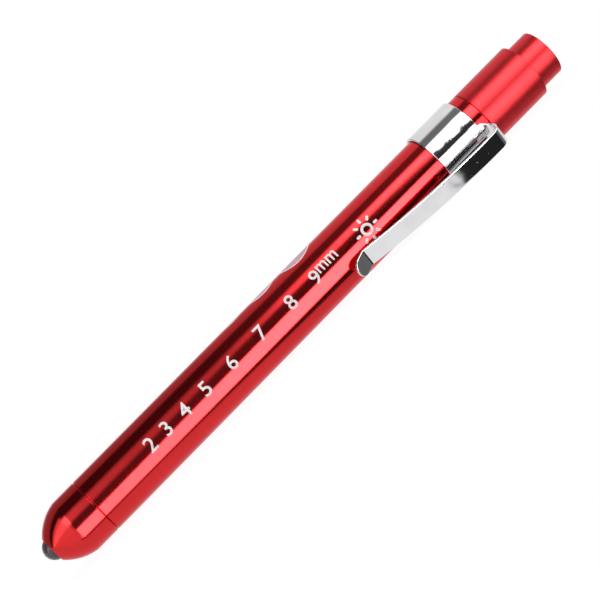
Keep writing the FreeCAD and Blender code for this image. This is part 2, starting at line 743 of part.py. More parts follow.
def make_switch():
    """The push switch in the tail cap: housing, lid, terminal, retaining ring, plunger and click rotor."""
    turned("switch_housing", [
        ("cavity_start", "cavity_radius"),
        ("cavity_start", "switch_radius"),
        ("tail_web_start", "switch_radius"),
        ("tail_web_start", "guide_radius"),
        ("tail_web_end", "guide_radius"),
        ("tail_web_end", "guide_bore"),
        ("cavity_end", "guide_bore"),
        ("cavity_end", "cavity_radius"),
    ])
    sleeve("switch_lid", "lid_start", "cavity_start", "rivet_hole_radius", "switch_radius")
    sleeve("switch_retainer", "retainer_start", "lid_start", "retainer_radius", "switch_radius")
    turned("switch_terminal", [
        ("terminal_start", None),
        ("terminal_start", "terminal_radius"),
        ("lid_start", "terminal_radius"),
        ("lid_start", "rivet_radius"),
        ("cavity_start", "rivet_radius"),
        ("cavity_start", "rivet_head_radius"),
        ("rivet_end", "rivet_head_radius"),
        ("rivet_end", None),
    ])
    plunger = doc.addObject("PartDesign::Body", "switch_plunger")
    turn(plunger, "switch_plunger", [
        ("bridge_start", None),
        ("bridge_start", "pin_radius"),
        ("collar_start", "pin_radius"),
        ("collar_start", "collar_radius"),
        ("collar_end", "collar_radius"),
        ("collar_end", "stem_radius"),
        ("stem_end", "stem_radius"),
        ("stem_end", None),
    ])
    add_teeth(plunger, "plunger", "collar_start", -1)
    keep(plunger, "switch_plunger")
    rotor = doc.addObject("PartDesign::Body", "ratchet_rotor")
    turn(rotor, "ratchet_rotor", [
        ("rotor_start", "rotor_bore"),
        ("rotor_start", "collar_radius"),
        ("rotor_end", "collar_radius"),
        ("rotor_end", "rotor_bore"),
    ])
    add_teeth(rotor, "rotor", "rotor_end", 1)
    keep(rotor, "ratchet_rotor")
    sleeve("contact_bridge", "bridge_start", "bridge_end", "bridge_bore", "bridge_radius")


def make_button():
    """The push button: a cup whose boss grips the end of the plunger's stem."""
    turned("push_button", [
        ("button_socket_end", None),
        ("button_socket_end", "button_socket_radius"),
        ("button_start", "button_socket_radius"),
        ("button_start", "button_boss_radius"),
        ("button_floor", "button_boss_radius"),
        ("button_floor", "button_inner_radius"),
        ("button_start", "button_inner_radius"),
        ("button_start", "button_radius"),
        ("button_edge_start", "button_radius"),
        ("button_end_face", "button_edge_radius"),
        ("button_end_face", None),
    ])


def make_springs():
    """The battery spring behind the cells and the switch's own return spring."""
    spring("battery_spring", "battery_wire", "battery_spring_start", "battery_spring_radius",
           "battery_spring_length", "battery_spring_turns", "battery_spring_growth")
    spring("switch_spring", "switch_wire", "switch_spring_start", "switch_spring_radius",
           "switch_spring_length", "switch_spring_turns", "switch_spring_growth")


def check_and_write():
    """Stop on any failed object or bad shape, then write one STEP file for each sub-part."""
    doc.recompute()
    failed = [item.Name for item in doc.Objects if {"Invalid", "Error"} & set(item.State)]
    if failed:
        raise SystemExit(f"these objects failed: {failed}")
    for piece in parts:
        if piece.Shape.isNull() or not piece.Shape.isValid():
            raise SystemExit(f"{piece.Label} has no valid shape")
        if len(piece.Shape.Solids) != 1:
            raise SystemExit(f"{piece.Label} has {len(piece.Shape.Solids)} solids")
    os.makedirs("parts", exist_ok=True)
    for piece in parts:
        piece.Shape.exportStep(f"parts/{piece.Label}.step")
        print(f"{piece.Label}: {piece.Shape.Volume:.3f} mm3")


make_shell()
make_lamp()
make_nose_insert()
make_cell(1)
make_cell(2)
make_clip()
make_tail_cap()
make_switch()
make_button()
make_springs()
check_and_write()
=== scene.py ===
import json
import math

import bmesh
import bpy
import numpy as np
from mathutils import Matrix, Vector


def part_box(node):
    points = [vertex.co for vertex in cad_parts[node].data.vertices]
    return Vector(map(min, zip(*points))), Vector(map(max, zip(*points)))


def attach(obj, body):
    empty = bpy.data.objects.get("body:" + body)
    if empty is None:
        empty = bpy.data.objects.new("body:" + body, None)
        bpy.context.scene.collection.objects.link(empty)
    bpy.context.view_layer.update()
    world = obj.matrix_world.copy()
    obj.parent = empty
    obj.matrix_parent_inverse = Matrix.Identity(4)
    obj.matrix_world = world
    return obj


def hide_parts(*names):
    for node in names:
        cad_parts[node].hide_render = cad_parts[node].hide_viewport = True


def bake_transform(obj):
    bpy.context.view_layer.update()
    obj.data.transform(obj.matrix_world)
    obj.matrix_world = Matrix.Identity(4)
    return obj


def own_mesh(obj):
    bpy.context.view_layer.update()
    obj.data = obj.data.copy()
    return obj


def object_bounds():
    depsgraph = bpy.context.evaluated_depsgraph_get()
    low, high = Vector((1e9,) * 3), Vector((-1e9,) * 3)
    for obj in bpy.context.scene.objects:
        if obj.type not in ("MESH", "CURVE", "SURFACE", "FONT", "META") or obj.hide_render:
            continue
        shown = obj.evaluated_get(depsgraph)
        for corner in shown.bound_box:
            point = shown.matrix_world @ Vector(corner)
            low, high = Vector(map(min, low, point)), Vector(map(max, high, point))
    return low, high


# The looks of a pocket penlight: a red anodised barrel printed with a pupil gauge, a bullet nose with its
# lamp, a chromed clip, and a tail cap with a push button. Lengths in this script are millimetres until a
# mesh is made; the frame's X runs from the nose to the button, and the light lies on the floor.

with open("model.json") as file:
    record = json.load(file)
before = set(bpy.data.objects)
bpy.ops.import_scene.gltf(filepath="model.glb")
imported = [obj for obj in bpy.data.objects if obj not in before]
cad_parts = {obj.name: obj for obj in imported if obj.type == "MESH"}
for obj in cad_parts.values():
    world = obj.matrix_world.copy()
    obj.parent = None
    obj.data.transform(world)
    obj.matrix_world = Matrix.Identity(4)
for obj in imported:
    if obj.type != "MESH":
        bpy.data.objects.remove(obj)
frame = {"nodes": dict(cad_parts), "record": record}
cad_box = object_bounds()

MM = 0.001

# ---------------------------------------------------------------- sizes, millimetres

BARREL_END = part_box("barrel")[1].x / MM
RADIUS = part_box("barrel")[1].z / MM
NOSE_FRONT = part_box("nose_cap")[0].x / MM
LAMP_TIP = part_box("led_lens")[0].x / MM
LAMP_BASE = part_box("led_lens")[1].x / MM
BAND_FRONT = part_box("clip_band")[0].x / MM
BEND_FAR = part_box("clip_band")[1].x / MM
TAIL_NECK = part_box("tail_cap")[0].x / MM
TAIL_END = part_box("tail_cap")[1].x / MM
BUTTON_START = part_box("push_button")[0].x / MM
BUTTON_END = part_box("push_button")[1].x / MM
BUTTON_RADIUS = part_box("push_button")[1].z / MM
FLOOR = cad_box[0][2]

BEVEL = 0.16
BARREL_BORE = 5.4
NOSE_RIM = 5.5
NOSE_NECK = 5.0
NOSE_NECK_RADIUS = 5.7
NOSE_BORE = 4.7
NOSE_OGIVE = 10.5
LAMP_HOLE = 2.6
MOUTH_RADIUS = 2.85
LAMP_RADIUS = 2.5
LAMP_FLANGE_RADIUS = 2.9
LAMP_FLANGE = 1.0
TAIL_NECK_RADIUS = 5.65
TAIL_BORE = 4.8
TAIL_WEB_START = TAIL_NECK + 10.5
TAIL_WEB = 1.4
TAIL_WEB_HOLE = 2.6
BUTTON_WALL = 0.8
BUTTON_CROWN = 1.4
BUTTON_BOSS = 2.6
BUTTON_SOCKET = 1.47
BUTTON_SOCKET_DEPTH = 3.2
THREAD_PITCH = 0.8
THREAD_DEPTH = 0.35
THREAD_INSET = 0.3
SOCKET_RELIEF = 0.4
FIT = 0.05

SHEET = 0.5
BAND_INNER = RADIUS + 0.1
BAND_WIDTH = 10.4
CLIP_WIDTH = 4.1
CLIP_RISE = 3.35
CLIP_TIP = 70.6
CLIP_TIP_GAP = 0.1
LIP_LENGTH = 4.1
LIP_ANGLE = math.radians(28)
LIP_CORNER = 1.9
TIP_BEND = 1.05
ROOT_FLARE = 0.9
ROOT_THIN = 0.2

PRINT_LIFT = math.radians(6.4)

AROUND = 384
LONGEST_STRETCH = 4.0
ARC_STEP = 0.25
SUPPORT = 0.15


# ---------------------------------------------------------------- mesh making

def make_piece(name, points, faces, material):
    """Put vertices in millimetres and faces into a new smooth mesh object, its faces turned outwards."""
    volume = 0.0
    for loop in faces:
        loop = np.asarray(loop)
        for k in range(1, loop.shape[1] - 1):
            a, b, c = points[loop[:, 0]], points[loop[:, k]], points[loop[:, k + 1]]
            volume += np.einsum("ij,ij->i", a, np.cross(b, c)).sum()
    if volume < 0:
        faces = [np.asarray(loop)[:, ::-1] for loop in faces]
    mesh = bpy.data.meshes.new(name)
    polygons = [face for loop in faces for face in np.asarray(loop).tolist()]
    mesh.from_pydata((points * MM).tolist(), [], polygons)
    mesh.polygons.foreach_set("use_smooth", np.ones(len(mesh.polygons), bool))
    mesh.materials.append(material)
    mesh.validate()
    piece = bpy.data.objects.new(name, mesh)
    bpy.context.scene.collection.objects.link(piece)
    return piece


def grid_faces(rows, columns, wrap_rows):
    """Quads between neighbours of a grid whose columns close on themselves, and its rows too if asked."""
    row = np.arange(rows if wrap_rows else rows - 1)[:, None]
    column = np.arange(columns)[None, :]
    below = (row + 1) % rows
    beside = (column + 1) % columns
    quads = np.stack(np.broadcast_arrays(row * columns + column, row * columns + beside,
                                         below * columns + beside, below * columns + column), axis=-1)
    return quads.reshape(-1, 4)


def closed_skin(grid, wrap_rows):
    """A grid of points as one closed skin: the rows join up, or the first and last are each shut by a fan."""
    rows, columns, _ = grid.shape
    points = grid.reshape(-1, 3)
    faces = [grid_faces(rows, columns, wrap_rows)]
    if not wrap_rows:
        column = np.arange(columns)
        beside = (column + 1) % columns
        middle = len(points)
        end = (rows - 1) * columns
        faces.append(np.stack([beside, column, np.full(columns, middle)], axis=-1))
        faces.append(np.stack([column + end, beside + end, np.full(columns, middle + 1)], axis=-1))
        points = np.vstack([points, grid[0].mean(axis=0), grid[-1].mean(axis=0)])
    return points, faces


def gather(skins):
    """Several closed skins as one list of points and faces."""
    points, faces, count = [], [], 0
    for skin_points, skin_faces in skins:
        points.append(skin_points)
        faces.extend(np.asarray(loop) + count for loop in skin_faces)
        count += len(skin_points)
    return np.vstack(points), faces


def rounded(stops, closed):
    """A line through stops (x, r, fillet) with each corner turned into an arc of its fillet's radius.

    A support point stands a little way off each end of an arc, which keeps the flats beside it flat, and no
    stretch is longer than LONGEST_STRETCH. A stop may also be an array of points, which is kept as it is.
    """
    solid = []
    for stop in stops:
        if isinstance(stop, np.ndarray):
            solid.extend((point[0], point[1], 0.0) for point in stop)
        else:
            solid.append(stop if len(stop) == 3 else (stop[0], stop[1], 0.0))
    line = []
    for number, (x, r, fillet) in enumerate(solid):
        here = np.array((x, r))
        at_end = not closed and number in (0, len(solid) - 1)
        if fillet == 0 or at_end:
            line.append(here)
            continue
        before = np.array(solid[number - 1][:2])
        after = np.array(solid[(number + 1) % len(solid)][:2])
        back = (before - here) / np.linalg.norm(before - here)
        ahead = (after - here) / np.linalg.norm(after - here)
        half = math.acos(np.clip(back @ ahead, -1, 1)) / 2
        reach = fillet / math.tan(half)
        middle = here + (back + ahead) / np.linalg.norm(back + ahead) * fillet / math.sin(half)
        start = here + back * reach - middle
        sweep = math.pi - 2 * half
        turn = math.copysign(1, start[0] * (here - middle)[1] - start[1] * (here - middle)[0])
        line.append(here + back * (reach + SUPPORT * fillet))
        for angle in np.linspace(0, sweep, max(3, int(sweep / ARC_STEP) + 1)) * turn:
            line.append(middle + np.array((start[0] * math.cos(angle) - start[1] * math.sin(angle),
                                           start[0] * math.sin(angle) + start[1] * math.cos(angle))))
        line.append(here + ahead * (reach + SUPPORT * fillet))
    if closed:
        line.append(line[0])
    full = [line[0]]
    for start, end in zip(line, line[1:]):
        steps = max(1, int(np.linalg.norm(end - start) / LONGEST_STRETCH))
        full.extend(start + (end - start) * k / steps for k in range(1, steps + 1))
    if closed:
        full.pop()
    return np.array(full)


def lathe(line, radius_shift=None):
    """Turn a line of (x, r) about X: y = -r cos a and z = -r sin a; the shift is a function of x, r and a."""
    angle = np.linspace(0, 2 * math.pi, AROUND, endpoint=False)[None, :]
    x = np.repeat(line[:, :1], AROUND, axis=1)
    r = np.repeat(line[:, 1:], AROUND, axis=1)
    if radius_shift:
        r = r + radius_shift(x, r, angle)
    return np.stack([x, -r * np.cos(angle), -r * np.sin(angle)], axis=-1)


# ---------------------------------------------------------------- shader making

class Field:
    """One socket of a material. Arithmetic on it adds Math nodes to the same material."""

    def __init__(self, maker, socket):
        self.maker = maker
        self.socket = socket

    def __add__(self, other):
        return self.maker.math("ADD", self, other)

    def __sub__(self, other):
        return self.maker.math("SUBTRACT", self, other)

    def __rsub__(self, other):
        return self.maker.math("SUBTRACT", other, self)

    def __mul__(self, other):
        return self.maker.math("MULTIPLY", self, other)

    __radd__ = __add__
    __rmul__ = __mul__


class Maker:
    """Adds nodes to one node tree."""

    def __init__(self, tree):
        self.tree = tree
        tree.nodes.clear()

    def node(self, kind, settings=None, values=None, out=0):
        """One node: its settings first, then each socket's number, colour or link; returns one output."""
        made = self.tree.nodes.new(kind)
        for name, value in (settings or {}).items():
            setattr(made, name, value)
        for name, value in (values or {}).items():
            socket = made.inputs[name]
            if isinstance(value, Field):
                self.tree.links.new(value.socket, socket)
            else:
                socket.default_value = value
        return Field(self, made.outputs[out]) if made.outputs else None

    def math(self, operation, *values):
        return self.node("ShaderNodeMath", {"operation": operation}, dict(enumerate(values)))

    def step(self, value, low, high):
        """Goes smoothly from 0 to 1 while the value goes from low to high."""
        return self.node("ShaderNodeMapRange", {"interpolation_type": "SMOOTHSTEP"}, {
            "Value": value, "From Min": low, "From Max": high})

    def place(self):
        """The point's own place on the piece, split into x, y and z in metres."""
        where = self.node("ShaderNodeTexCoord", out="Object")
        parts = [self.node("ShaderNodeSeparateXYZ", values={0: where}, out=k) for k in range(3)]
        return where, parts

    def noise(self, where, scale, detail=3.0, roughness=0.5):
        return self.node("ShaderNodeTexNoise", values={
            "Vector": where, "Scale": scale, "Detail": detail, "Roughness": roughness})

    def blend(self, factor, first, second):
        """A colour between two colours."""
        return self.node("ShaderNodeMix", {"data_type": "RGBA"}, {0: factor, 6: first, 7: second}, out=2)


def surface(name, fill):
    """A material whose Principled shader gets its sockets from fill(maker)."""
    material = bpy.data.materials.new(name)
    material.use_nodes = True
    maker = Maker(material.node_tree)
    shader = maker.node("ShaderNodeBsdfPrincipled", values=fill(maker), out="BSDF")
    maker.node("ShaderNodeOutputMaterial", values={"Surface": shader})
    return material


def turned_metal(name, dye, roughness, groove_depth, colour_wander):
    """Anodised, lathe-turned aluminium: fine rings in the bump, faint rings and clouds in the dye."""
    def fill(maker):
        where, (x, _, _) = maker.place()
        rings = maker.node("ShaderNodeTexNoise", {"noise_dimensions": "1D"}, {
            "W": x, "Scale": 9000.0, "Detail": 4.0, "Roughness": 0.7})
        bands = maker.node("ShaderNodeTexNoise", {"noise_dimensions": "1D"}, {
            "W": x, "Scale": 1100.0, "Detail": 2.0, "Roughness": 0.5})
        clouds = maker.noise(where, 160.0, 4.0, 0.6)
        wander = (bands - 0.5) * 0.5 + (clouds - 0.5) * 0.8 + 0.5
        pale = tuple(c * (1 + colour_wander) for c in dye) + (1,)
        deep = tuple(c * (1 - colour_wander) for c in dye) + (1,)
        specks = maker.step(maker.noise(where, 2600.0, 1.0), 0.72, 0.8)
        bump = maker.node("ShaderNodeBump", values={
            "Strength": 1.0, "Distance": groove_depth * MM, "Height": rings + clouds * 0.6})
        return {
            "Base Color": maker.blend(maker.step(wander, 0.2, 0.8), deep, pale),
            "Metallic": 0.96,
            "Roughness": rings * 0.02 + clouds * 0.03 + specks * 0.08 + (roughness - 0.025),
            "Specular Tint": (1.0, 0.8, 0.84, 1),
            "Normal": bump,
        }
    return surface(name, fill)


def bright_plate(name):
    """Nickel-chrome plate over pressed steel: nearly a mirror, with a long wave, pits and fine scratches."""
    def fill(maker):
        where, (x, _, _) = maker.place()
        stretched = maker.node("ShaderNodeMapping", values={"Vector": where, "Scale": (0.15, 1.0, 1.0)})
        scratches = maker.noise(stretched, 5200.0, 2.0, 0.6)
        wave = maker.noise(where, 240.0, 1.0)
        pits = maker.step(maker.noise(where, 1900.0, 1.0), 0.70, 0.78)
        bump = maker.node("ShaderNodeBump", values={
            "Strength": 1.0, "Distance": 0.0035 * MM, "Height": scratches * 0.08 + wave * 12.0 - pits * 1.0})
        tone = maker.blend(maker.step(wave, 0.3, 0.7), (0.70, 0.70, 0.715, 1), (0.76, 0.76, 0.77, 1))
        return {"Base Color": tone, "Metallic": 1.0, "Roughness": scratches * 0.04 + pits * 0.1 + 0.03,
                "Normal": bump}
    return surface(name, fill)


def plain_metal(name, colour, roughness, grain=3000.0):
    """Plated or bare metal with a fine grain."""
    def fill(maker):
        where, _ = maker.place()
        speckle = maker.noise(where, grain, 3.0, 0.6)
        dull = tuple(c * 0.8 for c in colour) + (1,)
        bump = maker.node("ShaderNodeBump", values={
            "Strength": 1.0, "Distance": 0.002 * MM, "Height": speckle})
        tone = maker.blend(maker.step(speckle, 0.3, 0.7), dull, colour + (1,))
        return {"Base Color": tone, "Metallic": 1.0, "Roughness": speckle * 0.15 + roughness, "Normal": bump}
    return surface(name, fill)


def moulding(name, colour, roughness, grain=1800.0):
    """Moulded or coated plastic: fine spark-eroded texture and a slight unevenness of tone."""
    def fill(maker):
        where, _ = maker.place()
        texture = maker.noise(where, grain, 3.0, 0.6)
        tone = maker.noise(where, 300.0, 2.0)
        shade = tuple(c * 0.88 for c in colour) + (1,)
        bump = maker.node("ShaderNodeBump", values={
            "Strength": 1.0, "Distance": 0.006 * MM, "Height": texture})
        return {"Base Color": maker.blend(maker.step(tone, 0.3, 0.7), shade, colour + (1,)),
                "Roughness": texture * 0.12 + roughness, "Normal": bump}
    return surface(name, fill)


def clear_epoxy(name):
    """The lamp's clear moulding; its diffuse share is painted shade, a dark purple-grey standing in for the
    dark interior seen through it.
    """
    def fill(maker):
        where, _ = maker.place()
        painted_shade_noise = maker.noise(where, 900.0, 2.0)
        # painted shade: the dark purple-grey base colour stands in for the dark seen through the clear lens
        return {"Base Color": maker.blend(painted_shade_noise, (0.15, 0.09, 0.13, 1), (0.22, 0.15, 0.19, 1)),
                "Roughness": painted_shade_noise * 0.05 + 0.02, "IOR": 1.53, "Transmission Weight": 0.72}
    return surface(name, fill)


def cell_sleeve(name):
    """The cell's shrunk film: a dark body, a copper-coloured shoulder at its nub end, and a silver line."""
    def fill(maker):
        where, (x, _, _) = maker.place()
        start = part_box("cell_1_label")[0].x
        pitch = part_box("cell_2_label")[0].x - start
        along = maker.math("MODULO", x - (start - 0.0001), pitch)
        shoulder = 1 - maker.step(along, 0.0118, 0.0120)
        line = maker.step(along, 0.0120, 0.0121) - maker.step(along, 0.0126, 0.0127)
        film = maker.noise(where, 1500.0, 2.0)
        body = maker.blend(shoulder, (0.02, 0.022, 0.03, 1), (0.55, 0.30, 0.12, 1))
        return {"Base Color": maker.blend(line, body, (0.75, 0.75, 0.76, 1)), "Metallic": shoulder * 0.7,
                "Roughness": film * 0.08 + 0.2}
    return surface(name, fill)


def circuit_board(name):
    """Green-masked laminate with a faint weave under the mask."""
    def fill(maker):
        where, (_, y, z) = maker.place()
        weave = (maker.math("SINE", y * 16000.0) + maker.math("SINE", z * 16000.0)) * 0.25 + 0.5
        return {"Base Color": maker.blend(weave, (0.012, 0.13, 0.05, 1), (0.03, 0.2, 0.08, 1)),
                "Roughness": weave * 0.1 + 0.3}
    return surface(name, fill)


finishes = {
    "red_anodised": turned_metal("red_anodised", (0.62, 0.027, 0.030), 0.11, 0.0003, 0.05),
    "red_satin": turned_metal("red_satin", (0.66, 0.034, 0.040), 0.33, 0.0006, 0.06),
    "chrome_clip": bright_plate("chrome_clip"),
    "lamp_epoxy": clear_epoxy("lamp_epoxy"),
    "lead_frame": plain_metal("lead_frame", (0.72, 0.71, 0.68), 0.22),
    "phosphor": moulding("phosphor", (0.85, 0.66, 0.10), 0.45, 6000.0),
    "white_nylon": moulding("white_nylon", (0.82, 0.82, 0.79), 0.4),
    "circuit_board": circuit_board("circuit_board"),
    "resistor_ceramic": moulding("resistor_ceramic", (0.02, 0.02, 0.022), 0.3, 5000.0),
    "brass": plain_metal("brass", (0.78, 0.55, 0.24), 0.2),
    "cell_steel": plain_metal("cell_steel", (0.70, 0.70, 0.69), 0.2),
    "cell_can": plain_metal("cell_can", (0.72, 0.72, 0.71), 0.24),
    "cell_sleeve": cell_sleeve("cell_sleeve"),
    "cell_insulator": moulding("cell_insulator", (0.88, 0.88, 0.85), 0.45),
    "black_plastic": moulding("black_plastic", (0.022, 0.022, 0.024), 0.38),
    "spring_steel": plain_metal("spring_steel", (0.66, 0.66, 0.65), 0.16, 6000.0),
    "acetal": moulding("acetal", (0.84, 0.83, 0.79), 0.35),
    "white_ink": moulding("white_ink", (0.96, 0.88, 0.89), 0.42, 4000.0),
    "gauge_ink": moulding("gauge_ink", (0.60, 0.36, 0.40), 0.36, 4000.0),
}

slot_of = {part["node"]: part["material_slot"] for part in frame["record"]["subparts"]}
for node, obj in frame["nodes"].items():
    obj.data.materials.clear()
    obj.data.materials.append(finishes[slot_of[node]])


# ---------------------------------------------------------------- turned shells

def stand_for(node, name, points, faces):
    """A piece in the node's own finish that takes the node's place."""
    slot = slot_of[node]
    piece = make_piece(name, points, faces, finishes[slot])
    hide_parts(node)
    return piece


def ring_piece(name, stops, node, body, radius_shift=None):
    """A turned piece whose outline closes on itself, standing for one CAD node."""
    points, faces = closed_skin(lathe(rounded(stops, True), radius_shift), True)
    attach(stand_for(node, name, points, faces), body)


def solid_piece(name, stops, node, body):
    """A turned piece whose outline starts and ends on the axis, standing for one CAD node."""
    line = rounded(stops, False)
    points, faces = closed_skin(lathe(line[1:-1]), False)
    points[-2] = (line[0][0], 0, 0)
    points[-1] = (line[-1][0], 0, 0)
    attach(stand_for(node, name, points, faces), body)


EDGE = 0.07
SEAM_RADIUS = RADIUS - BEVEL

ring_piece("barrel_tube", [
    (0, NOSE_NECK_RADIUS + FIT, 0.02),
    (0, SEAM_RADIUS, EDGE),
    (BEVEL, RADIUS, EDGE),
    (BARREL_END - BEVEL, RADIUS, EDGE),
    (BARREL_END, SEAM_RADIUS, EDGE),
    (BARREL_END, TAIL_NECK_RADIUS + FIT, 0.02),
    (TAIL_NECK - SOCKET_RELIEF, TAIL_NECK_RADIUS + FIT, 0.02),
    (TAIL_NECK - SOCKET_RELIEF, BARREL_BORE, 0.02),
    (NOSE_NECK + SOCKET_RELIEF, BARREL_BORE, 0.02),
    (NOSE_NECK + SOCKET_RELIEF, NOSE_NECK_RADIUS + FIT, 0.02),
], "barrel", "barrel_body")


def ogive():
    """The nose's outline: an arc of the ogive's radius from the rim's shoulder to the mouth, bulging out."""
    start = np.array((-NOSE_RIM, RADIUS))
    end = np.array((NOSE_FRONT, MOUTH_RADIUS))
    chord = end - start
    length = np.linalg.norm(chord)
    inward = np.array((-chord[1], chord[0])) / length
    centre = (start + end) / 2 + inward * math.sqrt(NOSE_OGIVE ** 2 - length ** 2 / 4)
    first = math.atan2(*(start - centre)[::-1])
    last = math.atan2(*(end - centre)[::-1])
    angle = np.linspace(first, last, 40)
    return centre + NOSE_OGIVE * np.stack([np.cos(angle), np.sin(angle)], axis=-1)


nose_curve = ogive()
ring_piece("nose_shell", [
    (0, SEAM_RADIUS, EDGE),
    (-BEVEL, RADIUS, EDGE),
    (-NOSE_RIM, RADIUS, 1.2),
    nose_curve[5:-1],
    (*nose_curve[-1], 0.1),
    (NOSE_FRONT, LAMP_HOLE, 0.08),
    (LAMP_BASE - LAMP_FLANGE, LAMP_HOLE, 0.02),
    (LAMP_BASE - LAMP_FLANGE, NOSE_BORE, 0.02),
    (NOSE_NECK, NOSE_BORE, 0.05),
    (NOSE_NECK, NOSE_NECK_RADIUS, 0.1),
    (0, NOSE_NECK_RADIUS, 0.02),
], "nose_cap", "barrel_body")

dome = np.linspace(math.pi, math.pi / 2, 24)
solid_piece("lamp_lens", [
    np.stack([LAMP_TIP + LAMP_RADIUS * (1 + np.cos(dome)), LAMP_RADIUS * np.sin(dome)], axis=-1),
    (LAMP_BASE - LAMP_FLANGE, LAMP_RADIUS, 0.02),
    (LAMP_BASE - LAMP_FLANGE, LAMP_FLANGE_RADIUS, 0.08),
    (LAMP_BASE, LAMP_FLANGE_RADIUS, 0.08),
    (LAMP_BASE, 0),
], "led_lens", "barrel_body")


def tail_thread(x, r, angle):
    """The cut of the neck's screw thread: rounded grooves one pitch apart, fading out at both ends."""
    phase = 2 * math.pi * (x / THREAD_PITCH) - angle
    groove = np.clip(0.5 - 0.75 * np.cos(phase), 0, 1)
    fade_in = np.clip((x - TAIL_NECK - THREAD_INSET) / (THREAD_PITCH / 2), 0, 1)
    fade_out = np.clip((BARREL_END - THREAD_INSET - x) / (THREAD_PITCH / 2), 0, 1)
    on_neck = np.abs(r - TAIL_NECK_RADIUS) < 0.2
    return np.where(on_neck, -THREAD_DEPTH * groove * fade_in * fade_out, 0.0)


neck_line = np.linspace(TAIL_NECK + 0.2, BARREL_END - 0.2, 90)
ring_piece("tail_shell", [
    (TAIL_NECK, TAIL_BORE, 0.1),
    (TAIL_NECK, TAIL_NECK_RADIUS, 0.15),
    np.stack([neck_line, np.full_like(neck_line, TAIL_NECK_RADIUS)], axis=-1),
    (BARREL_END, TAIL_NECK_RADIUS, 0.02),
    (BARREL_END, SEAM_RADIUS, EDGE),
    (BARREL_END + BEVEL, RADIUS, EDGE),
    (TAIL_END - 0.02, RADIUS, 0.12),
    (TAIL_END, RADIUS - 0.12, 0.02),
    (TAIL_END, BUTTON_RADIUS + 0.08, 0.06),
    (TAIL_WEB_START + TAIL_WEB, BUTTON_RADIUS + 0.08, 0.05),
    (TAIL_WEB_START + TAIL_WEB, TAIL_WEB_HOLE, 0.05),
    (TAIL_WEB_START, TAIL_WEB_HOLE, 0.05),
    (TAIL_WEB_START, TAIL_BORE, 0.05),
], "tail_cap", "tail_unit", tail_thread)

button_inner = BUTTON_RADIUS - BUTTON_WALL
solid_piece("button_shell", [
    (BUTTON_END, 0),
    (BUTTON_END, BUTTON_RADIUS, 0.2),
    (BUTTON_START, BUTTON_RADIUS, 0.1),
    (BUTTON_START, button_inner, 0.1),
    (BUTTON_END - BUTTON_CROWN, button_inner, 0.2),
    (BUTTON_END - BUTTON_CROWN, BUTTON_BOSS, 0.2),
    (BUTTON_START, BUTTON_BOSS, 0.1),
    (BUTTON_START, BUTTON_SOCKET, 0.1),
    (BUTTON_START + BUTTON_SOCKET_DEPTH, BUTTON_SOCKET, 0.05),
    (BUTTON_START + BUTTON_SOCKET_DEPTH, 0),
], "push_button", "button_unit")


# ---------------------------------------------------------------- clip

band_outer = BAND_INNER + SHEET
arm_under = band_outer + CLIP_RISE
arm_top = arm_under + SHEET
band_end = BAND_FRONT + BAND_WIDTH
bend_radius = (arm_top - BAND_INNER - SHEET) / 2
bend_centre_x = BEND_FAR - bend_radius - SHEET / 2
bend_centre_r = BAND_INNER + SHEET / 2 + bend_radius

# the light rests on its band and on the outer corner of its clip, which sets the clip's lean
clip_lean = (math.acos(band_outer / math.hypot(arm_top, CLIP_WIDTH / 2))
             + math.atan(CLIP_WIDTH / 2 / arm_top))
clip_out = np.array((0, -math.sin(clip_lean), -math.cos(clip_lean)))
clip_side = np.array((0, math.cos(clip_lean), -math.sin(clip_lean)))


def clip_line():
    """The middle line of the strip as rows of x, r, heading and distance to the lip's end.

    It runs back inside the band's edge, half round the fold, forwards along the arm's long arc, round the
    small bend at the tip and out along the lip.
    """
    rows = []
    for x in np.linspace(band_end - 0.45, bend_centre_x, 5, endpoint=False):
        rows.append((x, BAND_INNER + SHEET / 2, 0.0))
    for angle in np.linspace(-math.pi / 2, math.pi / 2, 41):
        rows.append((bend_centre_x + bend_radius * math.cos(angle),
                     bend_centre_r + bend_radius * math.sin(angle), angle + math.pi / 2))
    run = bend_centre_x - CLIP_TIP
    drop = arm_under - RADIUS - CLIP_TIP_GAP
    under_radius = (run ** 2 + drop ** 2) / (2 * drop)
    arm_radius = under_radius + SHEET / 2
    slope = math.asin(run / under_radius)
    turn = slope + LIP_ANGLE
    reach = TIP_BEND * math.tan(turn / 2)
    last = slope - reach / arm_radius
    for angle in np.linspace(0, last, 60)[1:]:
        rows.append((bend_centre_x - arm_radius * math.sin(angle),
                     arm_under + SHEET / 2 - arm_radius * (1 - math.cos(angle)), math.pi + angle))
    x, r, heading = rows[-1]
    left = heading + math.pi / 2
    centre = (x - TIP_BEND * math.cos(left), r - TIP_BEND * math.sin(left))
    for angle in np.linspace(0, turn, 16)[1:]:
        rows.append((centre[0] + TIP_BEND * math.cos(left - angle),
                     centre[1] + TIP_BEND * math.sin(left - angle), heading - angle))
    x, r, heading = rows[-1]
    length = LIP_LENGTH - reach
    fine = LIP_CORNER * (1 - np.cos(np.linspace(math.pi / 2, 0, 18)))
    for distance in [*np.linspace(0, length - LIP_CORNER, 5)[1:-1], *(length - fine)]:
        rows.append((x + distance * math.cos(heading), r + distance * math.sin(heading), heading))
    rows = np.array(rows)
    steps = np.hypot(*np.diff(rows[:, :2], axis=0).T)
    left_over = np.append(np.cumsum(steps[::-1])[::-1], 0.0)
    return np.column_stack([rows, left_over])


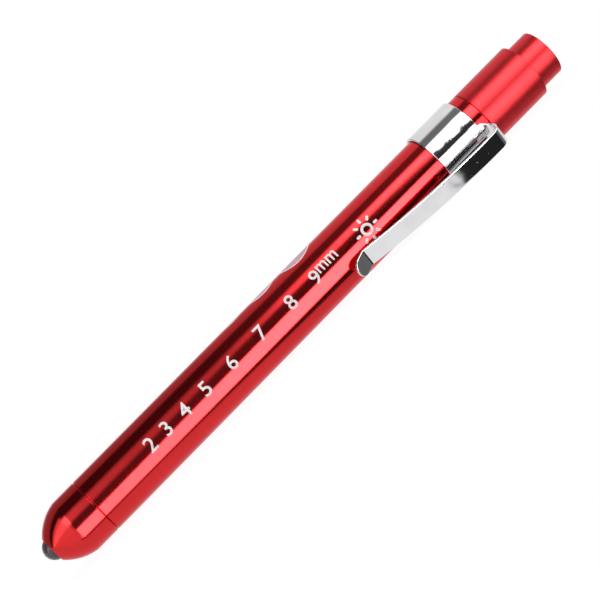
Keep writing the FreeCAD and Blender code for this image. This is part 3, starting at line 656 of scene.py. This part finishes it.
def strip_section():
    """The strip's rounded cross-section as a loop of across (-1 to 1 of the half-width), edge and height.

    Each point is where + edge * rounding, so that the rounding stays the same as the strip narrows.
    """
    rounding = 0.14
    corner = np.linspace(0, math.pi / 2, 6)
    loop = []
    for side, up in ((1, 1), (-1, 1), (-1, -1), (1, -1)):
        angles = corner if side * up > 0 else corner[::-1]
        for angle in angles:
            loop.append((side, side * rounding * (math.cos(angle) - 1),
                         up * (SHEET / 2 - rounding + rounding * math.sin(angle))))
        if side * (-1 if up > 0 else 1) < 0:
            height = up * SHEET / 2
            for share in np.linspace(1, -1, 13)[1:-1] * side:
                loop.append((share, 0.0, height))
    return np.array(loop)


def clip_strip():
    """The strip carried along its line; at the root it is curved like the band and flares a little."""
    line = clip_line()
    loop = strip_section()
    x, r, heading, left_over = (line[:, k:k + 1] for k in range(4))
    bend_turn = np.clip(heading / math.pi, 0, 1)
    root = np.clip(1 - bend_turn / 0.35, 0, 1)
    root = root * root * (3 - 2 * root)
    half = CLIP_WIDTH / 2 + ROOT_FLARE * root ** 1.5
    near_end = np.clip(LIP_CORNER - left_over, 0, LIP_CORNER)
    half = half - LIP_CORNER + np.sqrt(np.maximum(LIP_CORNER ** 2 - near_end ** 2, 0))
    across = half * loop[:, 0] + loop[:, 1]
    middle_radius = BAND_INNER + SHEET / 2
    thinned = 1 - ROOT_THIN * np.clip((band_end + 0.5 - x) / 0.5, 0, 1) * (root > 0.9)
    height = loop[:, 2] * thinned + root * (np.sqrt(middle_radius ** 2 - across ** 2) - middle_radius)
    along = x - height * np.sin(heading)
    out = r + height * np.cos(heading)
    grid = out[..., None] * clip_out + across[..., None] * clip_side
    grid[..., 0] += along
    return grid


band_line = rounded([
    (BAND_FRONT, BAND_INNER, 0.08),
    (BAND_FRONT, band_outer, 0.16),
    (band_end, band_outer, 0.16),
    (band_end, BAND_INNER, 0.08),
], True)
clip_points, clip_faces = gather([
    closed_skin(lathe(band_line), True),
    closed_skin(clip_strip(), False),
])
clip = make_piece("pocket_clip", clip_points, clip_faces, finishes["chrome_clip"])
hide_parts("clip_band", "clip_arm")

# a slanting line through the fold's upper quarter, with the band on one side and the arm on the other; its
# two points are worked out here but nothing uses them
slant = math.radians(78)
arm_way = math.sin(slant) * clip_out - np.array((math.cos(slant), 0, 0))
flex_point = np.array((bend_centre_x, 0, 0)) + clip_out * (arm_under + SHEET / 2)
tuple((flex_point - 0.9 * arm_way) * MM)
tuple((flex_point + 0.1 * arm_way) * MM)
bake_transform(clip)


# ---------------------------------------------------------------- coil springs

def coil_piece(name, node):
    """The node's own coil as a piece of its own."""
    source = frame["nodes"][node]
    points = np.empty(len(source.data.vertices) * 3)
    source.data.vertices.foreach_get("co", points)
    turn = np.array(source.matrix_world.to_3x3())
    points = points.reshape(-1, 3) @ turn.T + np.array(source.matrix_world.translation)
    return stand_for(node, name, points / MM, [[tuple(face.vertices) for face in source.data.polygons]])


switch_coil = coil_piece("switch_coil", "switch_spring")
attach(switch_coil, "tail_unit")
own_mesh(switch_coil)

cell_coil = coil_piece("cell_coil", "battery_spring")
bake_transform(cell_coil)


# ---------------------------------------------------------------- printing

print_front = np.array((0, -math.cos(PRINT_LIFT), math.sin(PRINT_LIFT)))
print_up = np.array((0, math.sin(PRINT_LIFT), math.cos(PRINT_LIFT)))
INK_SUNK = 0.01
INK_PROUD = 0.018
RING_POINTS = 96


def wrap(flat, azimuth):
    """Wrap flat points (x along the barrel, v up the print, height) round the barrel.

    v is a length along the surface, so the angle is v over the radius; azimuth is the angle of v = 0 upwards
    from the middle of the printed side.
    """
    angle = flat[..., 1:2] / RADIUS + azimuth
    r = RADIUS + flat[..., 2:3]
    around = r * (np.cos(angle) * print_front + np.sin(angle) * print_up)
    around[..., 0] += flat[..., 0]
    return around


def flat_disc(x, v, outline, low, high):
    """A thin closed plate over a star-shaped outline about (x, v): rings that grow, then shrink."""
    share = np.concatenate([np.linspace(0.02, 1, 12), np.linspace(1, 0.02, 12)])[:, None]
    height = np.where(np.arange(24) < 12, low, high)[:, None]
    return np.stack([x + share * outline[:, 0], v + share * outline[:, 1],
                     np.broadcast_to(height, (24, len(outline)))], axis=-1)


def flat_ring(x, v, outer, inner, low, high):
    """A thin closed ring: out along its bottom and back along its top."""
    radius = np.array([inner, (inner + outer) / 2, outer, outer, (inner + outer) / 2, inner])[:, None]
    height = np.array([low, low, low, high, high, high])[:, None]
    outline = circle(1.0)
    return np.stack([x + radius * outline[:, 0], v + radius * outline[:, 1],
                     np.broadcast_to(height, (6, len(outline)))], axis=-1)


def circle(radius):
    angle = np.linspace(0, 2 * math.pi, RING_POINTS, endpoint=False)
    return radius * np.stack([np.cos(angle), np.sin(angle)], axis=-1)


def bar(length, width, angle, distance):
    """The outline of a round-ended bar that points away from the origin at an angle, and its centre."""
    turn = np.linspace(-math.pi / 2, math.pi / 2, 13)
    cap = width / 2 * np.stack([np.cos(turn), np.sin(turn)], axis=-1) + (length / 2 - width / 2, 0)
    outline = np.vstack([cap, -cap])
    way = np.array(((math.cos(angle), -math.sin(angle)), (math.sin(angle), math.cos(angle))))
    return outline @ way.T, way @ (distance, 0)


def written(text, height, x, azimuth, squeeze=1.0):
    """Text of a given height as a closed skin on the barrel, centred on x and the azimuth.

    The flat letters are cut across at every LETTER_CUT so that they can follow the curve, and the squeeze
    narrows them along the barrel.
    """
    curve = bpy.data.curves.new("letters", "FONT")
    curve.body = text
    curve.size = 1.0
    curve.resolution_u = 6
    curve.extrude = 0.5
    curve.offset = LETTER_WEIGHT
    holder = bpy.data.objects.new("letters", curve)
    bpy.context.scene.collection.objects.link(holder)
    bpy.context.view_layer.update()
    mesh = bpy.data.meshes.new_from_object(holder.evaluated_get(bpy.context.evaluated_depsgraph_get()))
    bpy.data.objects.remove(holder)
    work = bmesh.new()
    work.from_mesh(mesh)
    bmesh.ops.remove_doubles(work, verts=work.verts, dist=1e-5)
    low = min(vert.co.y for vert in work.verts)
    high = max(vert.co.y for vert in work.verts)
    scale = height / (high - low)
    for cut in np.arange(low + LETTER_CUT / scale, high, LETTER_CUT / scale):
        parts = work.verts[:] + work.edges[:] + work.faces[:]
        bmesh.ops.bisect_plane(work, geom=parts, plane_co=(0, cut, 0), plane_no=(0, 1, 0), dist=1e-6)
    bmesh.ops.triangulate(work, faces=work.faces)
    bmesh.ops.recalc_face_normals(work, faces=work.faces)
    work.to_mesh(mesh)
    work.free()
    co = np.empty(len(mesh.vertices) * 3)
    mesh.vertices.foreach_get("co", co)
    co = co.reshape(-1, 3)
    triangles = np.empty(len(mesh.polygons) * 3, int)
    mesh.polygons.foreach_get("vertices", triangles)
    bpy.data.meshes.remove(mesh)
    middle = (co.min(axis=0) + co.max(axis=0)) / 2
    flat = np.column_stack([x + (co[:, 0] - middle[0]) * scale * squeeze, (co[:, 1] - middle[1]) * scale,
                            np.where(co[:, 2] > 0, INK_PROUD, -INK_SUNK)])
    return wrap(flat, azimuth), [triangles.reshape(-1, 3)]


LETTER_WEIGHT = 0.010
LETTER_CUT = 0.25
DIGIT_HEIGHT = 3.1
DIGIT_AZIMUTH = math.radians(7)
digit_places = {2: 15.4, 3: 19.7, 4: 24.6, 5: 30.3, 6: 37.4, 7: 45.4, 8: 53.7, 9: 60.5}
UNIT_HEIGHT = 1.85
UNIT_PLACE = 64.25
UNIT_SQUEEZE = 0.9

DISC_FAR_EDGE = math.radians(137.8)
DISC_FIRST = 17.1
DISC_GAP = 1.25
RIM_WIDTH = 0.28

SYMBOL_PLACE = 74.3
SYMBOL_AZIMUTH = math.radians(1)
SYMBOL_RAYS = 8
SYMBOL_OUTER = 1.3
SYMBOL_INNER = 0.72
RAY_LENGTH = 1.05
RAY_WIDTH = 0.56
RAY_PLACE = 2.25

ink = [written(str(digit), DIGIT_HEIGHT, x, DIGIT_AZIMUTH) for digit, x in digit_places.items()]
unit_azimuth = DIGIT_AZIMUTH + (DIGIT_HEIGHT - UNIT_HEIGHT) / 2 / RADIUS
ink.append(written("mm", UNIT_HEIGHT, UNIT_PLACE, unit_azimuth, UNIT_SQUEEZE))

# a lamp symbol: a ring with rays
symbol_ring = flat_ring(SYMBOL_PLACE, 0, SYMBOL_OUTER, SYMBOL_INNER, -INK_SUNK, INK_PROUD)
ink.append(closed_skin(wrap(symbol_ring, SYMBOL_AZIMUTH), True))
for ray in range(SYMBOL_RAYS):
    outline, centre = bar(RAY_LENGTH, RAY_WIDTH, 2 * math.pi * ray / SYMBOL_RAYS, RAY_PLACE)
    ray_plate = flat_disc(SYMBOL_PLACE + centre[0], centre[1], outline, -INK_SUNK, INK_PROUD)
    ink.append(closed_skin(wrap(ray_plate, SYMBOL_AZIMUTH), False))

discs = []
disc_x = DISC_FIRST
for diameter in range(2, 10):
    radius = diameter / 2
    azimuth = DISC_FAR_EDGE - radius / RADIUS
    rim = flat_ring(disc_x, 0, radius, radius - RIM_WIDTH, -INK_SUNK, INK_PROUD)
    disc = flat_disc(disc_x, 0, circle(radius - RIM_WIDTH / 2), -INK_SUNK, INK_PROUD / 2)
    ink.append(closed_skin(wrap(rim, azimuth), True))
    discs.append(closed_skin(wrap(disc, azimuth), False))
    disc_x += diameter + DISC_GAP

ink_points, ink_faces = gather(ink)
scale_print = make_piece("scale_print", ink_points, ink_faces, finishes["white_ink"])
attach(scale_print, "barrel_body")
disc_points, disc_faces = gather(discs)
disc_print = make_piece("gauge_discs", disc_points, disc_faces, finishes["gauge_ink"])
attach(disc_print, "barrel_body")


# ---------------------------------------------------------------- studio

def panel(maker, angle, low, high, soft):
    """A lamp panel between two angles in degrees: 1 inside, 0 outside, a slope of twice the softness."""
    return maker.step(angle, low - soft, low + soft) - maker.step(angle, high - soft, high + soft)


def build_studio():
    """The room round the light: plain white to matt things, with panels and dark gaps for metal to mirror.

    around is the angle about X from the printed side, downwards positive; ahead is the angle towards +X.
    """
    world = bpy.data.worlds.new("studio")
    world.use_nodes = True
    bpy.context.scene.world = world
    maker = Maker(world.node_tree)
    ray = maker.node("ShaderNodeTexCoord", out="Generated")
    x, y, z = (maker.node("ShaderNodeSeparateXYZ", values={0: ray}, out=k) for k in range(3))
    front = y * print_front[1] + z * print_front[2]
    down = y * -print_up[1] + z * -print_up[2]
    degree = 180 / math.pi
    around = maker.math("ARCTAN2", down, front) * degree
    ahead = maker.math("ARCSINE", x) * degree
    middle = maker.step(ahead, 0, 7)
    tail_side = maker.step(ahead, 2, 14)
    tail_end = maker.step(ahead, 12, 15.5)
    past_nose = 1 - maker.step(ahead, -28, -21)
    nose_side = 1 - maker.step(ahead, -1.2, -0.1)

    key = panel(maker, around, 12 - middle * 5.5, 51 + middle * 2 - tail_end * 17, 3)
    key_strength = (6.2 + maker.step(ahead, 1, 8) * 2.4 - tail_end * 7.1) * maker.step(ahead, -24, -21)
    upper = panel(maker, around, -53, -20 - middle * 11 + tail_end * 17, 8)
    upper_strength = 0.5 - middle * 0.06 + maker.step(ahead, 6, 13) * 5.0 + nose_side * 0.72
    upper_patch = (1 - maker.step(ahead, -13, -11)) * maker.step(ahead, -34, -18) * 4.0
    wedge = 58 + maker.step(ahead, 2, 6) * 8 + maker.step(ahead, 5, 9) * 8 + maker.step(ahead, 8, 14) * 14
    low_front = panel(maker, around, wedge, 122, 3) * (0.97 - tail_side * 0.22 - tail_end * 0.42)
    low_front = low_front * (1 - maker.step(ahead, 34, 42))
    under = panel(maker, around, 122, 181, 3) * 0.9 + panel(maker, around, -181, -150, 8) * 0.95
    back = panel(maker, around, -150, tail_side * 9 - 98, 8) * (0.36 + tail_side * 0.55)
    nose_fill = panel(maker, around, -70, 58, 6) * past_nose * 1.1
    lip_fill = panel(maker, around, 60, 122, 4) * maker.step(ahead, 38, 44) * 0.13
    gap_glow = (panel(maker, around, -45, 12, 6) * (0.10 - tail_side * 0.08)
                + panel(maker, around, -95, -55, 5) * (tail_side * 0.16))
    mirrored = (key * key_strength + upper * (upper_strength + upper_patch) + low_front + under + back
                + nose_fill + lip_fill + gap_glow + 0.02)

    path = maker.node("ShaderNodeLightPath", out="Is Glossy Ray")
    strength = 1 - path + path * mirrored
    shine = maker.node("ShaderNodeBackground", values={"Color": (1, 1, 1, 1), "Strength": strength})
    maker.node("ShaderNodeOutputWorld", values={"Surface": shine})


def build_floor():
    """A pale floor that keeps the light's own soft shadow; the metal mirrors the studio through it."""
    mesh = bpy.data.meshes.new("floor")
    half = 1.5
    corners = [(side * half, up * half, FLOOR) for side, up in ((-1, -1), (1, -1), (1, 1), (-1, 1))]
    mesh.from_pydata(corners, [], [(0, 1, 2, 3)])
    material = bpy.data.materials.new("floor")
    material.use_nodes = True
    maker = Maker(material.node_tree)
    white = maker.node("ShaderNodeEmission", values={"Color": (1, 1, 1, 1), "Strength": 0.95})
    matt = maker.node("ShaderNodeBsdfDiffuse", values={"Color": (0.06, 0.06, 0.06, 1)})
    plain = maker.node("ShaderNodeAddShader", values={0: white, 1: matt})
    pale = maker.node("ShaderNodeBsdfDiffuse", values={"Color": (0.8, 0.8, 0.8, 1)})
    clear = maker.node("ShaderNodeBsdfTransparent")
    path = {name: maker.node("ShaderNodeLightPath", out=name) for name in
            ("Is Camera Ray", "Is Glossy Ray", "Is Transmission Ray")}
    looked_at = maker.node("ShaderNodeMixShader", values={0: path["Is Camera Ray"], 1: pale, 2: plain})
    through = maker.math("MAXIMUM", path["Is Glossy Ray"], path["Is Transmission Ray"])
    shown = maker.node("ShaderNodeMixShader", values={0: through, 1: looked_at, 2: clear})
    maker.node("ShaderNodeOutputMaterial", values={"Surface": shown})
    mesh.materials.append(material)
    floor = bpy.data.objects.new("floor", mesh)
    bpy.context.scene.collection.objects.link(floor)


def build_camera():
    """The camera stands square to the nose's seam, turned towards the tail and rolled onto the diagonal."""
    distance = 400.0
    swing = math.radians(8)
    roll = math.radians(45.44)
    view = np.array((math.sin(swing), 0, 0)) - print_front * math.cos(swing)
    along = np.array((1.0, 0, 0)) - view * view[0]
    along /= np.linalg.norm(along)
    down = -print_up
    right = math.cos(roll) * along + math.sin(roll) * down
    up = math.sin(roll) * along - math.cos(roll) * down
    place = print_front * distance + right * 0.12 - up * 0.23
    data = bpy.data.cameras.new("camera")
    data.lens = 124.0
    data.sensor_width = 36.0
    data.clip_start = 0.01
    camera = bpy.data.objects.new("camera", data)
    columns = np.eye(4)
    columns[:3, 0], columns[:3, 1], columns[:3, 2], columns[:3, 3] = right, up, -view, place * MM
    camera.matrix_world = Matrix(columns.tolist())
    bpy.context.scene.collection.objects.link(camera)
    bpy.context.scene.camera = camera


build_studio()
build_floor()
build_camera()
bpy.context.scene.view_settings.view_transform = "Standard"
